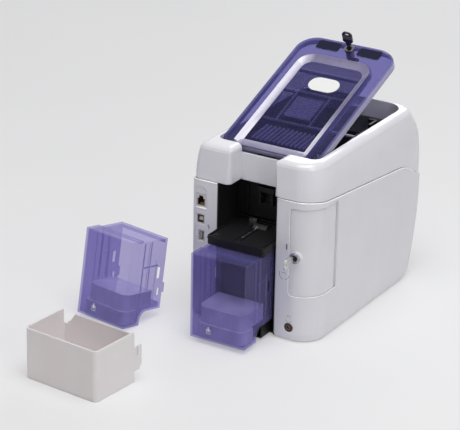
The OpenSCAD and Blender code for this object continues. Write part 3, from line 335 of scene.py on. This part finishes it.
# nodes whose finish differs from the one of their record slot; the lid key and lock barrel take a darker chrome, a
# painted dark reflection
SPECIAL = {"lid_shell": "violet_lid", "lid_ribs": "violet_rib",
           "lid_key": "chrome_dark_reflection", "lid_lock_barrel": "chrome_dark_reflection"}
slot_of = {part["node"]: part["material_slot"] for part in frame["record"]["subparts"]}
for name, obj in nodes.items():
    obj.data.materials.clear()
    obj.data.materials.append(finish[SPECIAL.get(name, slot_of[name])])


# ---------------------------------------------------------------- building pieces
def piece(name, mesh, body, material):
    """Object from a finished bmesh in row-frame metres."""
    data = bpy.data.meshes.new(name)
    bmesh.ops.recalc_face_normals(mesh, faces=mesh.faces)
    mesh.to_mesh(data)
    mesh.free()
    obj = bpy.data.objects.new(name, data)
    bpy.context.scene.collection.objects.link(obj)
    data.materials.append(finish[material])
    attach(obj, body)
    return obj


def tube(mesh, rings):
    """Faces round and between closed rings of vertices, without end caps."""
    for low, high in zip(rings, rings[1:]):
        for k in range(len(low)):
            n = (k + 1) % len(low)
            mesh.faces.new((low[k], low[n], high[n], high[k]))


def plate(mesh, outline, low, high, place):
    """Prism from a flat outline; place turns (u, v, w) in mm into a row-frame point."""
    rings = [[mesh.verts.new(place(u, v, w)) for u, v in outline] for w in (low, high)]
    mesh.faces.new(rings[0][::-1])
    mesh.faces.new(rings[1])
    tube(mesh, rings)


def plates(name, outlines, low, high, place, body, material, record_slot):
    """Piece of one or more prisms with the same two ends."""
    mesh = bmesh.new()
    for outline in outlines:
        plate(mesh, outline, low, high, place)
    return piece(name, mesh, body, material)


def bar(x0, z0, x1, z1, r=0.3):
    """Flat rectangle with small chamfered corners."""
    r = min(r, (x1 - x0) / 3, (z1 - z0) / 3)
    return [(x0 + r, z0), (x1 - r, z0), (x1, z0 + r), (x1, z1 - r),
            (x1 - r, z1), (x0 + r, z1), (x0, z1 - r), (x0, z0 + r)]


def turn(cx, cz, r, a0, a1, steps):
    """Points on an arc, angles in degrees."""
    angles = [math.radians(a0 + (a1 - a0) * k / steps) for k in range(steps + 1)]
    return [(cx + r * math.cos(a), cz + r * math.sin(a)) for a in angles]


def rounded_bar(x0, z0, x1, z1, r):
    """Flat rectangle with round corners."""
    corners = ((x1 - r, z1 - r, 0), (x0 + r, z1 - r, 90), (x0 + r, z0 + r, 180), (x1 - r, z0 + r, 270))
    return [point for cx, cz, start in corners for point in turn(cx, cz, r, start, start + 90, 6)]


def arc(cx, cz, r, a0, a1, width, steps=14):
    """Flat band along an arc, angles in degrees."""
    return turn(cx, cz, r + width / 2, a0, a1, steps) + turn(cx, cz, r - width / 2, a0, a1, steps)[::-1]


def upright(u, v, w):
    """Outline in x and z, drawn out along y."""
    return at(u, w, v)


def on_front(u, v, w):
    """Point of the front plane, w outwards."""
    return at(u, -w, v)


# front lower left corners of the two hoppers, in mm; the loose one also leans back and is turned
MOUNTED_X, MOUNTED_Y, MOUNTED_Z = -54.75, -75, 8
LEAN, YAW = math.radians(-9.4), math.radians(-9.3)
LOOSE = (Matrix.Translation(Vector((-238.2, -91.2, 34 * math.sin(-LEAN))))
         @ Matrix.Rotation(YAW, 4, "Z") @ Matrix.Rotation(LEAN, 4, "X"))


def on_mounted(u, v, w):
    """Point on the front of the mounted hopper, w outwards."""
    return at(MOUNTED_X + u, MOUNTED_Y - w, MOUNTED_Z + v)


def on_loose(u, v, w):
    """Point on the front of the loose hopper, w outwards."""
    return at(*(LOOSE @ Vector((u, -w, v))))


def on_lid(u, v, w):
    """Point of the shut lid in mm, at the lid's resting opening."""
    y, z = v - HINGE[0], w - HINGE[1]
    return at(u, HINGE[0] + y * math.cos(LID_OPEN) - z * math.sin(LID_OPEN),
              HINGE[1] + y * math.sin(LID_OPEN) + z * math.cos(LID_OPEN))


# ---------------------------------------------------------------- edge beads
def edge_chains(node, wanted):
    """Ordered chains along a node's mesh edges that pass wanted, as pairs of a point and its outward direction."""
    mesh = bmesh.new()
    mesh.from_mesh(nodes[node].data)
    bmesh.ops.remove_doubles(mesh, verts=mesh.verts, dist=1e-6)
    links, normals = {}, {}
    for edge in mesh.edges:
        if len(edge.link_faces) != 2:
            continue
        one, two = edge.link_faces
        for a, b in ((one, two), (two, one)):
            if wanted(a.normal, b.normal, (edge.verts[0].co + edge.verts[1].co) / 2):
                for vert, other in ((edge.verts[0], edge.verts[1]), (edge.verts[1], edge.verts[0])):
                    links.setdefault(vert.index, []).append(other.index)
                    normals.setdefault(vert.index, []).append(a.normal + b.normal)
    mesh.verts.ensure_lookup_table()
    chains, used = [], set()
    for start in sorted(links, key=lambda i: (len(links[i]) != 1, i)):
        if start in used:
            continue
        chain, here = [], start
        while here is not None:
            used.add(here)
            out = sum(normals[here], Vector()) / len(normals[here])
            chain.append((mesh.verts[here].co.copy(), out))
            here = next((k for k in links[here] if k not in used), None)
        chains.append(chain)
    mesh.free()
    return [chain for chain in chains if len(chain) > 1]


BEAD_SIDES = 10


def bead(name, node, wanted, radius, proud):
    """Rounded glossy edge: a thin round bead along mesh edges of a node, sunk into it; radius and proud in mm. Its
    finish, paler than the housing, is a painted highlight.
    """
    mesh = bmesh.new()
    radius, proud = radius / 1000, proud / 1000
    for chain in edge_chains(node, wanted):
        points = [co - out * (radius - proud) for co, out in chain]
        rings = []
        for k, point in enumerate(points):
            along = (points[min(k + 1, len(points) - 1)] - points[max(k - 1, 0)]).normalized()
            u = chain[k][1].cross(along).normalized()
            v = along.cross(u)
            angles = [2 * math.pi * n / BEAD_SIDES for n in range(BEAD_SIDES)]
            rings.append([mesh.verts.new(point + radius * (u * math.cos(a) + v * math.sin(a))) for a in angles])
        tube(mesh, rings)
        mesh.faces.new(rings[0][::-1])
        mesh.faces.new(rings[-1])
    obj = piece(name, mesh, "body", "bead")
    for polygon in obj.data.polygons:
        polygon.use_smooth = True


def seam_edge(up, out, mid):
    """Upper outer edge of a side cover."""
    outward = out.x * mid.x + out.y * mid.y
    return up.z > 0.7 and abs(out.z) < 0.45 and outward > 0.05 and mid.z > 0.17


def sill_edge(up, out, mid):
    """Lower edge of the door's window."""
    return up.z > 0.9 and abs(out.z) < 0.2 and out.x - out.y > 0.9 and 0.066 < mid.z < 0.08


def jamb_edge(side, out, mid):
    """Front edge of the door's window."""
    return side.x > 0.9 and out.y < -0.9 and 0.058 < mid.x < 0.064 and 0.07 < mid.z < 0.206


bead("seam_bead_right", "right_side_cover", seam_edge, 1.2, 0.4)
bead("seam_bead_left", "left_side_cover", seam_edge, 1.2, 0.4)
bead("door_frame_bead_low", "right_side_cover", sill_edge, 0.9, 0.25)
bead("door_frame_bead_side", "right_side_cover", jamb_edge, 0.9, 0.25)

# ---------------------------------------------------------------- printed marks
INLET_X, INLET_Z = 62.9, 21.9  # centre of the power inlet
LOCK_MARK = (53.5, 102.5)  # centre of the turning mark below the door lock


def printed(name, outlines, place, body, material, record_slot):
    """Thin ink islands on a flat face."""
    plates(name, outlines, -0.02, 0.05, place, body, material, record_slot)


# small generic marks beside the sockets, the door lock and the power inlet
printed("socket_mark", [bar(-72.6, 142, -71.8, 150), bar(-74, 147, -73.3, 149.2), bar(-70.9, 144.4, -70.2, 146.8),
                        bar(-74, 146.4, -70.2, 147)], on_front, "body", "ink_grey", "housing")
printed("lock_mark_shut", [bar(55.4, 141.5, 57.6, 150.5, 0.8)], on_front, "body", "ink_grey", "housing")
printed("lock_mark_open", [arc(*LOCK_MARK, 7.6, 150, 262, 0.7), arc(*LOCK_MARK, 7.6, 285, 352, 0.7),
                           arc(*LOCK_MARK, 3.2, 20, 160, 0.6)], on_front, "body", "ink_grey", "housing")
printed("inlet_mark", [arc(INLET_X, 35.6, 5.2, 200, 262, 0.5), arc(INLET_X, 35.6, 5.2, 278, 340, 0.5),
                       arc(INLET_X, 38.5, 2.2, -40, 220, 0.5)], on_front, "body", "ink_grey", "housing")

# hopper marks: an arrow dropping onto a card
HOPPER_MARK = [bar(26.5, 10.5, 33.5, 11.3), bar(26.5, 17.6, 33.5, 18.4),
               bar(26.5, 10.5, 27.3, 18.4), bar(32.7, 10.5, 33.5, 18.4),
               [(30, 13), (33, 17), (31, 17), (31, 21.5), (29, 21.5), (29, 17), (27, 17)]]
printed("output_hopper_mark", HOPPER_MARK, on_mounted, "mounted_hopper", "ink_white", "violet_clear")
printed("input_hopper_mark", HOPPER_MARK, on_loose, "loose_hopper", "ink_white", "violet_clear")

# ---------------------------------------------------------------- lid trim
# sunken panel of the lid in mm: half width, start of its sides, far end, radius of its far corners
PANEL_HALF, PANEL_NEAR, PANEL_FAR, PANEL_R = 59.5, 47.0, 261.5, 26.0
# section of the bezel: distance inwards from the panel's outline, and height
BEZEL = ((0.15, 264.1), (0.15, 269.6), (0.9, 269.5), (4.0, 267.6), (7.0, 265.9), (10.2, 264.5), (10.2, 264.1))
# section of the nose: distance from the front plane, and height
NOSE = ((43.4, 264.08), (57.5, 264.08), (56.0, 264.9), (53.0, 265.9), (49.5, 266.4), (46.0, 266.1), (44.0, 265.2))
NOSE_HALF = 59.2
WINDOW_HALF, WINDOW_V, WINDOW_W, WINDOW_R = 18.7, (273.8, 293.2), (269.05, 269.8), 3.7


def panel_path(inset):
    """Left side, far arch and right side of the panel's outline, moved inwards, as (u, v) points."""
    half, far, r = PANEL_HALF - inset, PANEL_FAR - 1.35 * inset, PANEL_R - inset
    left = [(-half, PANEL_NEAR), (-half, 110.0), (-half, 170.0), (-half, far - r)]
    arch = turn(-(half - r), far - r, r, 180, 90, 10)[1:] + turn(half - r, far - r, r, 90, 0, 10)
    return left + arch + [(half, 170.0), (half, 110.0), (half, PANEL_NEAR)]


# sloped frosted bezel between the raised border of the lid and its sunken panel
mesh = bmesh.new()
paths = [[mesh.verts.new(on_lid(u, v, w)) for u, v in panel_path(inset)] for inset, w in BEZEL]
sections = list(zip(*paths))
tube(mesh, sections)
mesh.faces.new(sections[0])
mesh.faces.new(sections[-1])
piece("lid_bezel", mesh, "lid", "violet_frost")

# rounded frosted nose across the front end of the panel
plates("lid_nose", [NOSE], -NOSE_HALF, NOSE_HALF, lambda v, w, u: on_lid(u, v, w),
       "lid", "violet_nose", "violet_clear")

# dark window inserts in the two shallow recesses beside the lid lock
for name, x in (("window_insert_left", -30), ("window_insert_right", 38)):
    outline = rounded_bar(x - WINDOW_HALF, WINDOW_V[0], x + WINDOW_HALF, WINDOW_V[1], WINDOW_R)
    plates(name, [outline], *WINDOW_W, on_lid, "lid", "shade", "black_plastic")

# ---------------------------------------------------------------- socket inserts
PORT_X = -86  # centre line of the three data sockets
CONTACTS, CONTACT_STEP, CONTACT_LOW, CONTACT_HIGH = 8, 1.02, 176.8, 183.4


def blocks(name, boxes, material):
    """Piece of boxes, each given by its low and high corner in mm."""
    mesh = bmesh.new()
    for lo, hi in boxes:
        plate(mesh, bar(lo[0], lo[2], hi[0], hi[2], 0.15), lo[1], hi[1], upright)
    piece(name, mesh, "body", material)


def sprung(u, v, w):
    """Point on a contact that lies flat in the back of the socket and rises to the front."""
    return at(u, w, CONTACT_LOW + (v - CONTACT_LOW) * (0.25 + 0.09 * (w - 6)))


blocks("network_liner", [((PORT_X - 5.9, 13.6, 176.6), (PORT_X + 5.9, 14.9, 186.9)),
                         ((PORT_X - 5.95, 3, 176.55), (PORT_X - 5.6, 14, 186.9)),
                         ((PORT_X + 5.6, 3, 176.55), (PORT_X + 5.95, 14, 186.9))], "cavity")
contact_x = [PORT_X - 3.57 + CONTACT_STEP * k for k in range(CONTACTS)]
plates("network_contacts", [bar(x - 0.22, CONTACT_LOW, x + 0.22, CONTACT_HIGH, 0.05) for x in contact_x],
       6.0, 13.4, sprung, "body", "gold", "shield")
blocks("usb_b_tongue", [((PORT_X - 2.9, 2.1, 152.9), (PORT_X + 2.9, 12.0, 158.5))], "beige")
blocks("usb_a_tongue", [((PORT_X - 0.75, 1.5, 124.3), (PORT_X + 1.35, 13, 136.3))], "beige")
mesh = bmesh.new()
plate(mesh, arc(INLET_X, INLET_Z, 3.0, 0, 359.9, 0.8, 40), -0.1, 1.0, upright)
plate(mesh, arc(INLET_X, INLET_Z, 0.75, 0, 359.9, 1.4, 24), 1.6, 2.6, upright)
piece("inlet_contact", mesh, "body", "copper")


# ---------------------------------------------------------------- stage, light and camera
CAMERA_PLACE = (1.5445, -2.8493, 1.4745)
CAMERA_TURN = (30.558, 22.708, 1.157)  # yaw, pitch and roll in degrees
FOCAL_PIXELS, PICTURE_WIDTH, SENSOR = 2373.0, 460, 36


def add_floor():
    mesh = bmesh.new()
    bmesh.ops.create_grid(mesh, x_segments=2, y_segments=2, size=12)
    data = bpy.data.meshes.new("floor")
    mesh.to_mesh(data)
    mesh.free()
    floor = bpy.data.objects.new("floor", data)
    floor.location = (0, 0, -0.0002)
    bpy.context.scene.collection.objects.link(floor)
    f = Finish("floor")
    body = f.mix(f.spread(f.noise(0.5)), (0.79, 0.79, 0.795), (0.82, 0.82, 0.825))
    lit = f.bsdf(body, 0.75, f.bump(f.noise(0.003), 0.00005, f.flat), Specular_IOR_Level=0.2)
    plain = f.add("ShaderNodeEmission", {"Color": (0.92, 0.92, 0.93, 1)}).outputs[0]
    f.close(f.blend(f.math("MULTIPLY", f.seen(), 0.35), lit, plain))
    data.materials.append(finish["floor"])


def add_world():
    """Pale backdrop for rays that show it, and a dimmer sky as light."""
    world = bpy.data.worlds.new("studio")
    world.use_nodes = True
    t = Tree(world.node_tree)
    show = t.add("ShaderNodeBackground", {"Color": (0.86, 0.86, 0.87, 1)}).outputs[0]
    light = t.add("ShaderNodeBackground", {"Color": (0.97, 0.98, 1.0, 1), "Strength": 0.20}).outputs[0]
    pick = t.add("ShaderNodeMixShader", {0: t.seen(), 1: light, 2: show}).outputs[0]
    t.add("ShaderNodeOutputWorld", {"Surface": pick})
    bpy.context.scene.world = world


def add_lamp(name, place, aim, size, power):
    data = bpy.data.lights.new(name, "AREA")
    data.shape = "RECTANGLE"
    data.size, data.size_y = size
    data.energy = power
    lamp = bpy.data.objects.new(name, data)
    lamp.location = place
    lamp.rotation_euler = (Vector(aim) - Vector(place)).to_track_quat("-Z", "Y").to_euler()
    bpy.context.scene.collection.objects.link(lamp)


def add_camera():
    yaw, pitch, roll = (math.radians(a) for a in CAMERA_TURN)
    back = Vector((math.sin(yaw) * math.cos(pitch), -math.cos(yaw) * math.cos(pitch), math.sin(pitch)))
    right = Vector((math.cos(yaw), math.sin(yaw), 0))
    up = back.cross(right)
    turned = (right * math.cos(roll) + up * math.sin(roll), up * math.cos(roll) - right * math.sin(roll), back)
    data = bpy.data.cameras.new("camera")
    data.sensor_width = SENSOR
    data.lens = FOCAL_PIXELS * SENSOR / PICTURE_WIDTH
    data.clip_end = 80
    camera = bpy.data.objects.new("camera", data)
    camera.matrix_world = Matrix.Translation(CAMERA_PLACE) @ Matrix(turned).transposed().to_4x4()
    bpy.context.scene.collection.objects.link(camera)
    bpy.context.scene.camera = camera


add_floor()
add_world()
add_lamp("overhead", (0.5, -0.6, 3.1), (-0.05, -0.05, 0.1), (2.4, 2.2), 72)
add_lamp("back", (-0.8, 2.8, 1.8), (0.0, 0.0, 0.15), (1.5, 1.2), 16)
add_lamp("fill", (2.7, -1.5, 1.5), (0.0, 0.0, 0.2), (1.3, 1.3), 15)
add_camera()
bpy.context.scene.view_settings.view_transform = "Standard"
